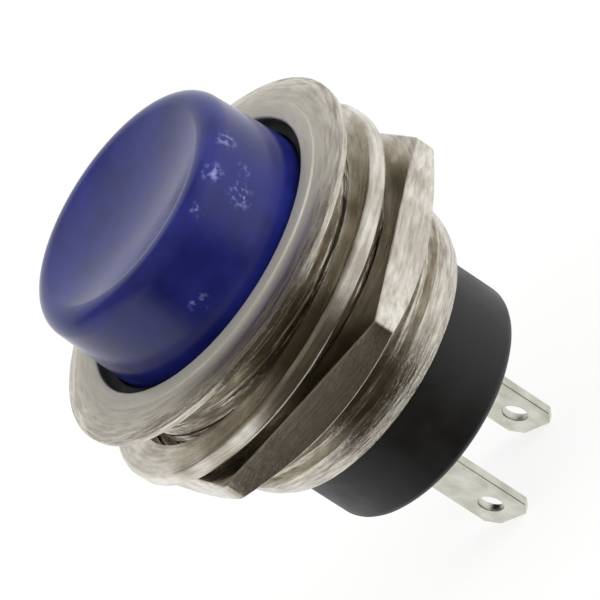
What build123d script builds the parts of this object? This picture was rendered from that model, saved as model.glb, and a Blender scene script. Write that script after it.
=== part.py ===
"""Momentary panel pushbutton switch with a dished round cap.

Frame: millimetres, +Z towards the cap, origin on the axis at the rear face of the
flange, which is the face that meets the panel. X runs from one solder lug to the other.
The button stands released, with its stem clip against the web inside the barrel.
"""

from build123d import *

from math import cos, radians, sin, sqrt, tan
import os

# %% Driving dimensions ---------------------------------------------------------------

# Clearances
slide_clearance = 0.05
slot_clearance = 0.05

# Barrel: flange, threaded neck, inner web and rolled rear lip
thread_radius = 8.0
thread_length = 7.7
thread_pitch = 0.75
thread_depth = 0.42
thread_root_width = 0.135
thread_crest_width = 0.165
thread_overcut = 0.1
relief_gap = 0.15
relief_width = 0.6
relief_depth = 0.47
barrel_wall = 0.95
flange_overhang = 2.0
flange_thickness = 0.8
flange_land_width = 0.9
flange_edge_drop = 0.45
flange_edge_break = 0.1
mouth_depth = 1.0
web_depth = 4.2
web_thickness = 1.0
roll_length = 1.47
roll_draw_in = 0.55
roll_arc_radius = 2.5
lip_thickness = 0.35

# Button cap
cap_height = 4.75
cap_bore_clearance = 0.15
cap_draft = 0.24
cap_rim_round = 0.5
cap_rim_width = 0.75
cap_inner_round = 0.4
cap_dish_depth = 0.9
dish_wall_run = 0.51
dish_rise = 0.25
dish_corner_round = 0.8
crown_wall = 1.4
skirt_wall = 1.1
boss_wall = 1.1
travel = 2.0
travel_reserve = 0.3

# Plunger, its clip and the two springs
stem_radius = 1.5
clip_groove_depth = 0.4
clip_band = 1.1
clip_thickness = 0.5
clip_mouth = 1.9
clip_relief = 0.25
stem_tail = 0.3
spigot_step = 0.6
spigot_tail = 0.4
return_wire = 0.55
return_turns = 4.5
contact_wire = 0.25
contact_turns = 3.5
contact_spring_length = 1.425
wire_sides = 10

# Moulded base, insulator and collar
collar_wall = 0.55
collar_thickness = 0.55
insulator_thickness = 0.5
insulator_hole_margin = 0.6
shoulder_step = 0.6
base_length = 4.71
base_wall = 1.25
base_end_round = 0.6

# Terminals and contacts
strip_thickness = 0.45
lug_spacing = 5.3
lug_width = 3.1
lug_length = 6.57
lug_tip_cut = 0.6
lug_hole_radius = 0.65
lug_hole_from_tip = 1.5
foot_end_margin = 0.575
foot_width = 2.4
foot_bend_radius = 0.4
contact_radius = 0.95
contact_thickness = 0.4
contact_follow = 0.3
bridge_thickness = 0.4
bridge_width = 2.4
bridge_eye_band = 0.8
bridge_clip_band = 0.8
bridge_clip_thickness = 0.3

# Washer and nut
washer_band = 1.8
washer_thickness = 1.0
washer_edge_round = 0.3
washer_bore_clearance = 0.35
washer_seat_gap = 0.02
washer_shift = 0.2
washer_shift_direction = 145.0
washer_tilt = 3.4
washer_tilt_direction = 105.0
nut_wall = 1.45
nut_thickness = 2.0
nut_depth = 3.73
nut_corner_angle = 5.2
nut_chamfer_angle = 30.0

# %% Derived radii: each piece follows the one that it fits --------------------------------

bore_radius = thread_radius - barrel_wall
cap_skirt_radius = bore_radius - cap_bore_clearance
cap_top_radius = cap_skirt_radius - cap_draft
skirt_inner_radius = cap_skirt_radius - skirt_wall
rim_inner_radius = cap_top_radius - cap_rim_round - cap_rim_width
dish_radius = rim_inner_radius - dish_wall_run
guide_radius = cap_skirt_radius + slide_clearance
mouth_radius = guide_radius + collar_wall
flange_radius = thread_radius + flange_overhang
flange_land_radius = mouth_radius + flange_land_width
roll_end_radius = thread_radius - roll_draw_in
flank_run = (thread_pitch - thread_crest_width - thread_root_width) / 2
cutter_width = thread_root_width + 2 * flank_run * (1 + thread_overcut / thread_depth)

boss_radius = stem_radius + boss_wall
stem_hole_radius = stem_radius + slide_clearance
clip_groove_radius = stem_radius - clip_groove_depth
clip_radius = stem_radius + clip_band
spigot_radius = stem_radius - spigot_step
return_coil_radius = (boss_radius + skirt_inner_radius) / 2
contact_coil_radius = (stem_radius + spigot_radius) / 2

base_shoulder_radius = bore_radius - slide_clearance
base_radius = bore_radius - shoulder_step
lip_radius = base_radius + slide_clearance
chamber_radius = base_radius - base_wall
strip_inner_face = (lug_spacing - strip_thickness) / 2
foot_length = chamber_radius - foot_end_margin - strip_inner_face
contact_offset = strip_inner_face + foot_length / 2

washer_bore_radius = thread_radius + washer_bore_clearance
washer_radius = washer_bore_radius + washer_band
nut_bore_radius = thread_radius + slide_clearance
nut_flat_radius = nut_bore_radius + nut_wall
nut_corner_radius = 2 * nut_flat_radius / sqrt(3)

# %% Derived heights along Z, from the cap down to the lugs --------------------------------

flange_front = flange_thickness
cap_top = flange_front + cap_height
dish_floor = cap_top - cap_dish_depth
cap_ceiling = dish_floor - crown_wall
mouth_floor = flange_front - mouth_depth
web_top = -web_depth
web_bottom = web_top - web_thickness
skirt_end = web_top + travel + travel_reserve
boss_end = skirt_end + skirt_wall
thread_end = -thread_length
relief_top = -relief_gap
relief_bottom = relief_top - relief_width
barrel_end = thread_end - roll_length
lip_top = barrel_end + lip_thickness
thread_rise = (relief_top + relief_bottom) / 2 - thread_end
nut_front = -nut_depth
nut_back = nut_front - nut_thickness
washer_reach = washer_thickness / 2 * cos(radians(washer_tilt)) + washer_radius * sin(radians(washer_tilt))
washer_centre = nut_front + washer_seat_gap + washer_reach

clip_bottom = web_bottom - clip_thickness
stem_end = clip_bottom - stem_tail
bridge_top = stem_end - contact_spring_length
bridge_bottom = bridge_top - bridge_thickness
bridge_clip_bottom = bridge_bottom - bridge_clip_thickness
spigot_end = bridge_clip_bottom - spigot_tail
moving_contact_bottom = bridge_bottom - contact_thickness
contact_gap = travel - contact_follow
fixed_contact_bottom = moving_contact_bottom - contact_gap - contact_thickness
chamber_floor = fixed_contact_bottom - strip_thickness
base_top = web_bottom - insulator_thickness
base_end = barrel_end - base_length
lug_end = base_end - lug_length


# %% Shared outlines ---------------------------------------------------------------------


def outline(points):
    """A closed face through (radius, height) points, ready to revolve about the axis."""
    with BuildSketch(Plane.XZ) as face:
        with BuildLine():
            Polyline(*points, close=True)
        make_face()
    return face.sketch


def coil(coil_radius, wire_radius, bottom, top, turns):
    """Sweep a wire along a helix that just touches two heights."""
    rise = top - bottom - 2 * wire_radius
    start = (0, 0, bottom + wire_radius)
    with BuildPart() as spring:
        with BuildLine() as path:
            Helix(pitch=rise / turns, height=rise, radius=coil_radius, center=start)
        with BuildSketch(Plane(origin=path.line @ 0, z_dir=path.line % 0)):
            RegularPolygon(wire_radius, wire_sides)
        sweep(path=path.line, is_frenet=True)
    return spring.part


# %% Barrel: flange, threaded neck, inner web and rolled rear lip, turned from one bar ----

with BuildPart() as barrel:
    with BuildSketch(Plane.XZ):
        with BuildLine():
            land_edge = (flange_land_radius, flange_front)
            rim_edge = (flange_radius, flange_front - flange_edge_drop)
            TangentArc(land_edge, rim_edge, tangent=(1, 0))
            Polyline(
                rim_edge,
                (flange_radius, flange_edge_break),
                (flange_radius - flange_edge_break, 0),
                (thread_radius, 0),
                (thread_radius, thread_end),
            )
            RadiusArc((thread_radius, thread_end), (roll_end_radius, barrel_end), roll_arc_radius)
            Polyline(
                (roll_end_radius, barrel_end),
                (lip_radius, barrel_end),
                (lip_radius, lip_top),
                (bore_radius, lip_top),
                (bore_radius, web_bottom),
                (stem_hole_radius, web_bottom),
                (stem_hole_radius, web_top),
                (bore_radius, web_top),
                (bore_radius, mouth_floor),
                (mouth_radius, mouth_floor),
                (mouth_radius, flange_front),
                land_edge,
            )
        make_face()
    revolve(axis=Axis.Z)
    # The thread is one V groove with flat crest and root, cut along a right-hand helix
    # from the end of the neck up into the relief behind the flange.
    with BuildLine() as thread_path:
        Helix(pitch=thread_pitch, height=thread_rise, radius=thread_radius, center=(0, 0, thread_end))
    path = thread_path.line
    with BuildSketch(Plane(origin=path @ 0, x_dir=(1, 0, 0), z_dir=path % 0)):
        Polygon(
            (-thread_depth, -thread_root_width / 2),
            (thread_overcut, -cutter_width / 2),
            (thread_overcut, cutter_width / 2),
            (-thread_depth, thread_root_width / 2),
            align=None,
        )
    sweep(path=path, is_frenet=True, mode=Mode.SUBTRACT)
    revolve(outline([
        (thread_radius - relief_depth, relief_bottom),
        (thread_radius + thread_overcut, relief_bottom),
        (thread_radius + thread_overcut, relief_top),
        (thread_radius - relief_depth, relief_top),
    ]), axis=Axis.Z, mode=Mode.SUBTRACT)
barrel.part.label = "barrel"

# %% Guide collar: black ring in the mouth, which centres the cap -----------------------

with BuildPart() as guide_collar:
    revolve(outline([
        (guide_radius, mouth_floor),
        (mouth_radius, mouth_floor),
        (mouth_radius, mouth_floor + collar_thickness),
        (guide_radius, mouth_floor + collar_thickness),
    ]), axis=Axis.Z)
guide_collar.part.label = "guide_collar"

# %% Button cap: dished crown with a raised rim, hollow skirt and a centre boss -----------

with BuildPart() as button_cap:
    with BuildSketch(Plane.XZ):
        with BuildLine():
            Line((0, cap_ceiling), (0, dish_floor))
            TangentArc((0, dish_floor), (dish_radius, dish_floor + dish_rise), tangent=(1, 0))
            Polyline(
                (dish_radius, dish_floor + dish_rise),
                (rim_inner_radius, cap_top),
                (cap_top_radius, cap_top),
                (cap_skirt_radius, flange_front),
                (cap_skirt_radius, skirt_end),
                (skirt_inner_radius, skirt_end),
                (skirt_inner_radius, cap_ceiling),
                (0, cap_ceiling),
            )
        make_face()
    revolve(axis=Axis.Z)
    with BuildSketch(Plane.XY.offset(cap_ceiling)):
        Circle(boss_radius)
        Circle(stem_radius, mode=Mode.SUBTRACT)
    extrude(amount=boss_end - cap_ceiling)
    for edge_radius, edge_round in (
        (cap_top_radius, cap_rim_round),
        (rim_inner_radius, cap_inner_round),
        (dish_radius, dish_corner_round),
    ):
        rings = button_cap.edges().filter_by(GeomType.CIRCLE)
        fillet(rings.filter_by(lambda e: abs(e.radius - edge_radius) < 1e-6), edge_round)
button_cap.part.label = "button_cap"

# %% Plunger: stem pressed into the boss, with a clip groove and a contact spigot ---------

with BuildPart() as plunger:
    revolve(outline([
        (0, cap_ceiling),
        (stem_radius, cap_ceiling),
        (stem_radius, web_bottom),
        (clip_groove_radius, web_bottom),
        (clip_groove_radius, clip_bottom),
        (stem_radius, clip_bottom),
        (stem_radius, stem_end),
        (spigot_radius, stem_end),
        (spigot_radius, spigot_end),
        (0, spigot_end),
    ]), axis=Axis.Z)
plunger.part.label = "plunger"

# %% Stem clip: open E-shaped ring in the groove, which stops the plunger on the web ------

with BuildPart() as stem_clip:
    with BuildSketch(Plane.XY.offset(clip_bottom)):
        Circle(clip_radius)
        Circle(clip_groove_radius, mode=Mode.SUBTRACT)
        with Locations((0, -clip_radius / 2)):
            Rectangle(clip_mouth, clip_radius, mode=Mode.SUBTRACT)
        with PolarLocations(clip_groove_radius, 3, start_angle=30):
            Circle(clip_relief, mode=Mode.SUBTRACT)
    extrude(amount=clip_thickness)
stem_clip.part.label = "stem_clip"

# %% Springs --------------------------------------------------------------------------

return_spring = coil(return_coil_radius, return_wire / 2, web_top, cap_ceiling, return_turns)
return_spring.label = "return_spring"
contact_spring = coil(contact_coil_radius, contact_wire / 2, bridge_top, stem_end, contact_turns)
contact_spring.label = "contact_spring"

# %% Insulating disc: thin fibre washer between the web and the moulded base -------------

with BuildPart() as insulating_disc:
    with BuildSketch(Plane.XY.offset(base_top)):
        Circle(base_shoulder_radius)
        Circle(clip_radius + insulator_hole_margin, mode=Mode.SUBTRACT)
    extrude(amount=insulator_thickness)
insulating_disc.part.label = "insulating_disc"

# %% Base: black moulding with a shoulder under the rolled lip and a contact chamber ------

with BuildPart() as base:
    revolve(outline([
        (chamber_radius, base_top),
        (base_shoulder_radius, base_top),
        (base_shoulder_radius, lip_top),
        (base_radius, lip_top),
        (base_radius, base_end),
        (0, base_end),
        (0, chamber_floor),
        (chamber_radius, chamber_floor),
    ]), axis=Axis.Z)
    end_edges = base.edges().filter_by(GeomType.CIRCLE).group_by(Axis.Z)[0]
    fillet(end_edges, base_end_round)
    with BuildSketch(Plane.XY.offset(base_end)):
        with Locations((lug_spacing / 2, 0), (-lug_spacing / 2, 0)):
            Rectangle(strip_thickness + 2 * slot_clearance, lug_width + 2 * slot_clearance)
    extrude(amount=chamber_floor - base_end, mode=Mode.SUBTRACT)
base.part.label = "base"

# %% Terminals: strip bent to a contact foot inside and a holed solder lug outside -------


def terminal(side):
    """One bent strip: side is +1 for the right lug and -1 for the left."""
    inner_face = side * strip_inner_face
    with BuildPart() as strip:
        with BuildSketch(Plane.YZ.offset(inner_face)):
            with BuildLine():
                Polyline(
                    (-lug_width / 2, chamber_floor),
                    (-lug_width / 2, lug_end + lug_tip_cut),
                    (-lug_width / 2 + lug_tip_cut, lug_end),
                    (lug_width / 2 - lug_tip_cut, lug_end),
                    (lug_width / 2, lug_end + lug_tip_cut),
                    (lug_width / 2, chamber_floor),
                    (foot_width / 2, chamber_floor),
                    (foot_width / 2, fixed_contact_bottom),
                    (-foot_width / 2, fixed_contact_bottom),
                    (-foot_width / 2, chamber_floor),
                    close=True,
                )
            make_face()
            with Locations((0, lug_end + lug_hole_from_tip)):
                Circle(lug_hole_radius, mode=Mode.SUBTRACT)
        extrude(amount=side * strip_thickness)
        with BuildSketch(Plane.XY.offset(chamber_floor)):
            with Locations((inner_face + side * foot_length / 2, 0)):
                Rectangle(foot_length, foot_width)
        extrude(amount=strip_thickness)
        top_edges = strip.edges().filter_by(Axis.Y).group_by(Axis.Z)[-1]
        bend = top_edges.sort_by(lambda e: abs(e.center().X))[0]
        fillet(bend, foot_bend_radius)
    return strip.part


terminal_right = terminal(1)
terminal_right.label = "terminal_right"
terminal_left = terminal(-1)
terminal_left.label = "terminal_left"

# %% Contacts: silver buttons on the feet and on a sprung bridge --------------------------


def contact_button(side, bottom):
    """One silver contact: a short disc over or under the foot on its side."""
    with BuildPart() as button:
        with BuildSketch(Plane.XY.offset(bottom)):
            with Locations((side * contact_offset, 0)):
                Circle(contact_radius)
        extrude(amount=contact_thickness)
    return button.part


fixed_contact_right = contact_button(1, fixed_contact_bottom)
fixed_contact_left = contact_button(-1, fixed_contact_bottom)
moving_contact_right = contact_button(1, moving_contact_bottom)
moving_contact_left = contact_button(-1, moving_contact_bottom)
fixed_contact_right.label = "fixed_contact_right"
fixed_contact_left.label = "fixed_contact_left"
moving_contact_right.label = "moving_contact_right"
moving_contact_left.label = "moving_contact_left"

with BuildPart() as contact_bridge:
    with BuildSketch(Plane.XY.offset(bridge_bottom)):
        SlotOverall(2 * (contact_offset + bridge_width / 2), bridge_width)
        Circle(spigot_radius + bridge_eye_band)
        Circle(spigot_radius + slide_clearance, mode=Mode.SUBTRACT)
    extrude(amount=bridge_thickness)
contact_bridge.part.label = "contact_bridge"

with BuildPart() as bridge_clip:
    with BuildSketch(Plane.XY.offset(bridge_clip_bottom)):
        Circle(spigot_radius + bridge_clip_band)
        Circle(spigot_radius, mode=Mode.SUBTRACT)
    extrude(amount=bridge_clip_thickness)
bridge_clip.part.label = "bridge_clip"

# %% Panel hardware: loose washer, lying tipped against the nut, and the hexagon nut ------

tip_x = sin(radians(washer_tilt)) * cos(radians(washer_tilt_direction))
tip_y = sin(radians(washer_tilt)) * sin(radians(washer_tilt_direction))
shift_x = washer_shift * cos(radians(washer_shift_direction))
shift_y = washer_shift * sin(radians(washer_shift_direction))
washer_plane = Plane(
    origin=(shift_x, shift_y, washer_centre),
    z_dir=(tip_x, tip_y, cos(radians(washer_tilt))),
).offset(-washer_thickness / 2)
with BuildPart() as flat_washer:
    with BuildSketch(washer_plane):
        Circle(washer_radius)
        Circle(washer_bore_radius, mode=Mode.SUBTRACT)
    extrude(amount=washer_thickness)
    rims = flat_washer.edges().filter_by(GeomType.CIRCLE)
    fillet(rims.filter_by(lambda e: e.radius > washer_bore_radius + slide_clearance), washer_edge_round)
flat_washer.part.label = "flat_washer"

chamfer_reach = nut_corner_radius - nut_flat_radius + slide_clearance
with BuildPart() as hex_nut:
    with BuildSketch(Plane.XY.offset(nut_back)):
        RegularPolygon(nut_corner_radius, 6, rotation=nut_corner_angle)
        Circle(nut_bore_radius, mode=Mode.SUBTRACT)
    extrude(amount=nut_thickness)
    corner_waste = outline([
        (nut_flat_radius, nut_back),
        (nut_flat_radius + chamfer_reach, nut_back),
        (nut_flat_radius + chamfer_reach, nut_back + chamfer_reach * tan(radians(nut_chamfer_angle))),
    ])
    revolve(corner_waste, axis=Axis.Z, mode=Mode.SUBTRACT)
hex_nut.part.label = "hex_nut"

# %% Write one file for each piece -------------------------------------------------------

pieces = [
    barrel.part, guide_collar.part, button_cap.part, plunger.part, stem_clip.part,
    return_spring, insulating_disc.part, base.part, contact_spring,
    contact_bridge.part, bridge_clip.part, terminal_right, terminal_left,
    fixed_contact_right, fixed_contact_left, moving_contact_right, moving_contact_left,
    flat_washer.part, hex_nut.part,
]
os.makedirs("parts", exist_ok=True)
for piece in pieces:
    export_step(piece, f"parts/{piece.label}.step")
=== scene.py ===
# %% [markdown]
# # A panel pushbutton switch
# This is a momentary switch for a panel: a blue cap in a plated, threaded barrel, with a
# washer, a hexagon nut, a black moulded base and two solder lugs. The solids come from
# the CAD frame. Here each surface that can be seen gets its rounded edges, its thread and
# its finish, and each piece keeps its size and its place.
# %% Load the frame
import math

import bmesh
import bpy
from mathutils import Matrix, Vector


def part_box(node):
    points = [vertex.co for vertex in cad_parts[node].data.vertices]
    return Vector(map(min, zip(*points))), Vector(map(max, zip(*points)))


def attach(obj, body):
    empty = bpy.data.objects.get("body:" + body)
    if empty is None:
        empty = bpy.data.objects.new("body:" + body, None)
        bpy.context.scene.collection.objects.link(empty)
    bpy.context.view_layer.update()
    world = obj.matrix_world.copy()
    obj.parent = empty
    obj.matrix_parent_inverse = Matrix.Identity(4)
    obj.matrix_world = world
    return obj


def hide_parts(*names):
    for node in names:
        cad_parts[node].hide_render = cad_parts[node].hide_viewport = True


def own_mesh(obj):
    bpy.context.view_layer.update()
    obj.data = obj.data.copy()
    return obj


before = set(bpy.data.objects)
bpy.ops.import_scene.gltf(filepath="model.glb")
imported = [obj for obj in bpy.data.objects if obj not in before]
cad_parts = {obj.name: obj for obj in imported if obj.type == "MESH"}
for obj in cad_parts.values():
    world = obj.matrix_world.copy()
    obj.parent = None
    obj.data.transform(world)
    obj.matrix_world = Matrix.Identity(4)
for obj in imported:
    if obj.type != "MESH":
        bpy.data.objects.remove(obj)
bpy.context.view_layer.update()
MM = 0.001

# %% [markdown]
# ## The main heights and radii
# A turned part is drawn as an outline of radii and heights. The outer heights are read
# from the CAD boxes, so that the outlines meet where the solids meet. The inner ones,
# which no box shows, are written down once here and shared by the pieces that fit there.
# %% Shared heights and radii, in millimetres


def span(node):
    """Lowest height, highest height and half width of a CAD node, in mm."""
    low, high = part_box(node)
    return low.z / MM, high.z / MM, (high.x - low.x) / 2 / MM


barrel_end, flange_front, flange_radius = span("barrel")
cap_end, cap_top, cap_radius = span("button_cap")
nut_back, nut_front, _ = span("hex_nut")
base_end, base_top, base_shoulder = span("base")
lug_end, foot_top, _ = span("terminal_right")
thread_radius, thread_pitch, thread_end = 8.0, 0.75, -7.7
bore_radius, mouth_radius, mouth_floor = 7.05, 7.5, -0.2
web_top, web_back = -4.2, -5.2
crown_underside, press_travel = 3.25, 2.0
base_floor = -10.775
print(f"flange {flange_radius:.2f} mm, cap {cap_radius:.2f} mm, lug tips at {lug_end:.2f} mm")

# %% [markdown]
# ## Helpers for turned shapes
# Most of the switch is round, so its pieces can be made as a lathe makes them: an outline
# is carried round the axis. Every real edge is a little rounded, and that small round is
# what catches the light, so the outline's corners are turned by short arcs first. A Bevel
# modifier could do it later, but an arc in the outline is exact and costs few faces.
# %% Outlines: arcs, rounded corners and evenly spaced runs
rings_per_turn = 12


def arc(start, end, radius, steps):
    """Points after start, up to end, on an arc that bulges left, or right for a negative radius."""
    a, b = Vector(start), Vector(end)
    chord = b - a
    left = Vector((-chord.y, chord.x)).normalized() * math.copysign(1, radius)
    centre = (a + b) / 2 - left * math.sqrt(radius**2 - (chord.length / 2) ** 2)
    turn = -2 * math.asin(chord.length / 2 / radius)
    spoke = a - centre
    return [tuple(centre + Matrix.Rotation(turn * k / steps, 2) @ spoke) for k in range(1, steps + 1)]


def rounded(corners, steps=4):
    """A closed outline of (radius, height[, round]), with an arc at each corner that has a round."""
    path = []
    for i, corner in enumerate(corners):
        here = Vector(corner[:2])
        if len(corner) < 3:
            path.append(tuple(here))
            continue
        to_last = (Vector(corners[i - 1][:2]) - here).normalized()
        to_next = (Vector(corners[(i + 1) % len(corners)][:2]) - here).normalized()
        half = to_last.angle(to_next) / 2
        centre = here + (to_last + to_next).normalized() * corner[2] / math.sin(half)
        first = here + to_last * corner[2] / math.tan(half) - centre
        last = here + to_next * corner[2] / math.tan(half) - centre
        for k in range(steps + 1):
            spoke = first.lerp(last, k / steps).normalized() * corner[2]
            path.append(tuple(centre + spoke))
    return path


def run(radius, start, end, spacing):
    """Points at even heights along a straight wall, so that a thread can be cut in it."""
    count = max(2, round(abs(end - start) / spacing))
    return [(radius, start + (end - start) * k / count) for k in range(count + 1)]


one_turn = run(thread_radius, 0, thread_pitch, thread_pitch / rings_per_turn)
print("rings for one turn of the thread:", len(one_turn) - 1)

# %% [markdown]
# ## Skins
# An outline becomes a mesh when copies of it stand round the axis and each is joined to
# the next. A Screw modifier does that for one outline. This helper also takes outlines
# that differ from angle to angle, which the nut needs, and it closes the poles by merging
# the points that lie on the axis.
# %% Skins: a mesh from outlines placed round the axis


def skin(name, rows):
    """Join closed outlines that go round the axis into one closed mesh, in metres."""
    bm = bmesh.new()
    rings = [[bm.verts.new(Vector(p) * MM) for p in row] for row in rows]
    for a, b in zip(rings, rings[1:] + rings[:1]):
        for k in range(len(a)):
            bm.faces.new((a[k - 1], a[k], b[k], b[k - 1]))
    bmesh.ops.remove_doubles(bm, verts=bm.verts, dist=1e-7)
    bmesh.ops.dissolve_degenerate(bm, edges=bm.edges, dist=1e-8)
    bmesh.ops.recalc_face_normals(bm, faces=bm.faces)
    mesh = bpy.data.meshes.new(name)
    bm.to_mesh(mesh)
    bm.free()
    piece = bpy.data.objects.new(name, mesh)
    bpy.context.scene.collection.objects.link(piece)
    return piece


def turned(name, outline, steps=192):
    """Carry one outline all the way round the axis, as on a lathe."""
    angles = [2 * math.pi * k / steps for k in range(steps)]
    return skin(name, [[(r * math.cos(t), r * math.sin(t), z) for r, z in outline] for t in angles])


def soften(piece, degrees=32):
    """Shade smoothly, except across edges that are sharper than the angle."""
    bm = bmesh.new()
    bm.from_mesh(piece.data)
    for face in bm.faces:
        face.smooth = True
    for edge in bm.edges:
        edge.smooth = edge.is_manifold and edge.calc_face_angle(0) < math.radians(degrees)
    bm.to_mesh(piece.data)
    bm.free()
    print(f"{piece.name}: {len(piece.data.polygons)} faces")
    return piece


# %% [markdown]
# ## Helpers for finishes
# A finish is a small network of nodes. One function adds any node, sets its options and
# fills its inputs with numbers or with other nodes' outputs. Colours are written as the
# eye reads them, in sRGB hex, and one function turns them into the linear light that the
# shader works in. A Mix node's two colours are its inputs 6 and 7, and its result is
# output 2.
# %% Colour and node helpers


def colour(code):
    """Turn an sRGB hex colour into linear red, green, blue and alpha."""
    channels = [int(code[i : i + 2], 16) / 255 for i in (1, 3, 5)]
    return [c / 12.92 if c <= 0.04045 else ((c + 0.055) / 1.055) ** 2.4 for c in channels] + [1.0]


def add(tree, kind, inputs=None, **options):
    """Add a node, set its options, and give its inputs values or links."""
    made = tree.nodes.new(kind)
    for name, value in options.items():
        setattr(made, name, value)
    for name, value in (inputs or {}).items():
        if isinstance(value, bpy.types.NodeSocket):
            tree.links.new(value, made.inputs[name])
        else:
            made.inputs[name].default_value = value
    return made


def new_finish(name, **shader_values):
    """A material with one Principled shader, whose uniform values are set on its sockets."""
    material = bpy.data.materials.new(name)
    material.use_nodes = True
    tree = material.node_tree
    shader = tree.nodes["Principled BSDF"]
    for socket, value in shader_values.items():
        shader.inputs[socket.replace("_", " ")].default_value = value
    return material, tree, shader


print("a mid grey of #808080 is", round(colour("#808080")[0], 3), "in linear light")

# %% [markdown]
# ## Turning marks
# A bar turned on a lathe keeps fine lines that run round it, left by the tool's feed. They
# are long round the axis and very narrow across it. A Wave texture would make them all
# alike, so a noise is read instead, on the direction from the axis, which changes slowly,
# together with the radius and the height, which change fast. The real feed is about
# 0.05 mm; the lines are drawn 0.2 mm apart, because finer ones would not show at this size.
# %% A shared pattern of turning marks
mark_spacing = 0.2


def turning_marks(tree, changes_round):
    """Lines round the Z axis: a noise value, narrow across the feed and long round the bar."""
    place = add(tree, "ShaderNodeTexCoord").outputs["Object"]
    parts = add(tree, "ShaderNodeSeparateXYZ", {0: place})
    flat = add(tree, "ShaderNodeCombineXYZ", {0: parts.outputs[0], 1: parts.outputs[1]}).outputs[0]
    radius = add(tree, "ShaderNodeVectorMath", {0: flat}, operation="LENGTH").outputs["Value"]
    facing = add(tree, "ShaderNodeVectorMath", {0: flat}, operation="NORMALIZE").outputs[0]
    around = add(
        tree, "ShaderNodeVectorMath", {0: facing, "Scale": changes_round}, operation="SCALE"
    ).outputs[0]
    feed = 1 / (mark_spacing * MM)
    height = add(tree, "ShaderNodeMath", {0: parts.outputs[2], 1: feed}, operation="MULTIPLY").outputs[0]
    lift = add(tree, "ShaderNodeCombineXYZ", {2: height}).outputs[0]
    where = add(tree, "ShaderNodeVectorMath", {0: around, 1: lift}, operation="ADD").outputs[0]
    out = add(tree, "ShaderNodeMath", {0: radius, 1: feed}, operation="MULTIPLY").outputs[0]
    noise = add(
        tree,
        "ShaderNodeTexNoise",
        {"Vector": where, "W": out, "Scale": 1.0, "Detail": 4.0, "Roughness": 0.6},
        noise_dimensions="4D",
    )
    return noise.outputs["Fac"]


print("turning marks every", mark_spacing, "mm")

# %% [markdown]
# ## Nickel on turned brass
# The barrel is a brass bar, turned and then plated with nickel. Nickel is a warm grey
# mirror; over turning marks its reflections draw out into bright and dark streaks. On the
# thread and the slope those streaks are also painted into the colour, brownish grey to pale
# along the marks, as a painted reflection. The flange's face was rubbed to a
# satin before plating: its scratches are too fine to mirror anything and scatter light as
# a pale paint does, so there the metal is rougher, more even and partly matt.
# %% Nickel-plated turned brass
satin_start, satin_full = flange_front - 0.38, flange_front - 0.08


def turned_nickel():
    """Nickel with painted reflection streaks on the thread and the slope, and satin nickel on the flange's
    face.
    """
    material, tree, shader = new_finish("nickel_plated_turned_brass")
    marks = turning_marks(tree, changes_round=6.0)
    place = add(tree, "ShaderNodeTexCoord").outputs["Object"]
    height = add(tree, "ShaderNodeSeparateXYZ", {0: place}).outputs[2]
    face = add(
        tree,
        "ShaderNodeMapRange",
        {"Value": height, "From Min": satin_start * MM, "From Max": satin_full * MM},
    ).outputs[0]
    sharp = add(tree, "ShaderNodeMapRange", {"Value": marks, "From Min": 0.36, "From Max": 0.64}).outputs[0]
    faint = add(tree, "ShaderNodeMapRange", {"Value": marks, "From Min": 0.3, "From Max": 0.7}).outputs[0]
    # Brownish grey to pale along the turning marks: painted reflection streaks in the colour
    painted_reflection_streaks = add(
        tree,
        "ShaderNodeMix",
        {"Factor": sharp, 6: colour("#A0968A"), 7: colour("#DCD8CB")},
        data_type="RGBA",
    ).outputs[2]
    even = add(
        tree,
        "ShaderNodeMix",
        {"Factor": faint, 6: colour("#C6C1B4"), 7: colour("#D0CBBF")},
        data_type="RGBA",
    ).outputs[2]
    tint = add(tree, "ShaderNodeMix", {"Factor": face, 6: painted_reflection_streaks, 7: even}, data_type="RGBA").outputs[2]
    tree.links.new(tint, shader.inputs["Base Color"])
    shine = add(
        tree,
        "ShaderNodeMapRange",
        {"Value": marks, "From Min": 0.3, "From Max": 0.7, "To Min": 0.26, "To Max": 0.12},
    ).outputs[0]
    rough = add(tree, "ShaderNodeMath", {0: face, 1: 0.3, 2: shine}, operation="MULTIPLY_ADD").outputs[0]
    tree.links.new(rough, shader.inputs["Roughness"])
    mirror = add(
        tree,
        "ShaderNodeMapRange",
        {"Value": face, "From Min": 0.6, "From Max": 1.0, "To Min": 1.0, "To Max": 0.35},
    ).outputs[0]
    tree.links.new(mirror, shader.inputs["Metallic"])
    depth = add(tree, "ShaderNodeMapRange", {"Value": face, "To Min": 1.0, "To Max": 0.2}).outputs[0]
    bump = add(tree, "ShaderNodeBump", {"Height": marks, "Strength": depth, "Distance": 0.08 * MM})
    tree.links.new(bump.outputs[0], shader.inputs["Normal"])
    return material


nickel = turned_nickel()
print("made", nickel.name)

# %% [markdown]
# ## Nickel on pressed and milled hardware
# The washer is punched from sheet and the nut is cut from rolled hexagon bar. Both keep
# the smoother skin of rolled metal, with faint lines, soft waves about 2 mm long and small
# handling marks, so they reflect more evenly than the barrel. The marks and the waves are
# two noises, added, so that no line looks like its neighbour.
# %% Nickel-plated hardware
wave_length = 20 / 9  # nine waves in 20 mm


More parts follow.
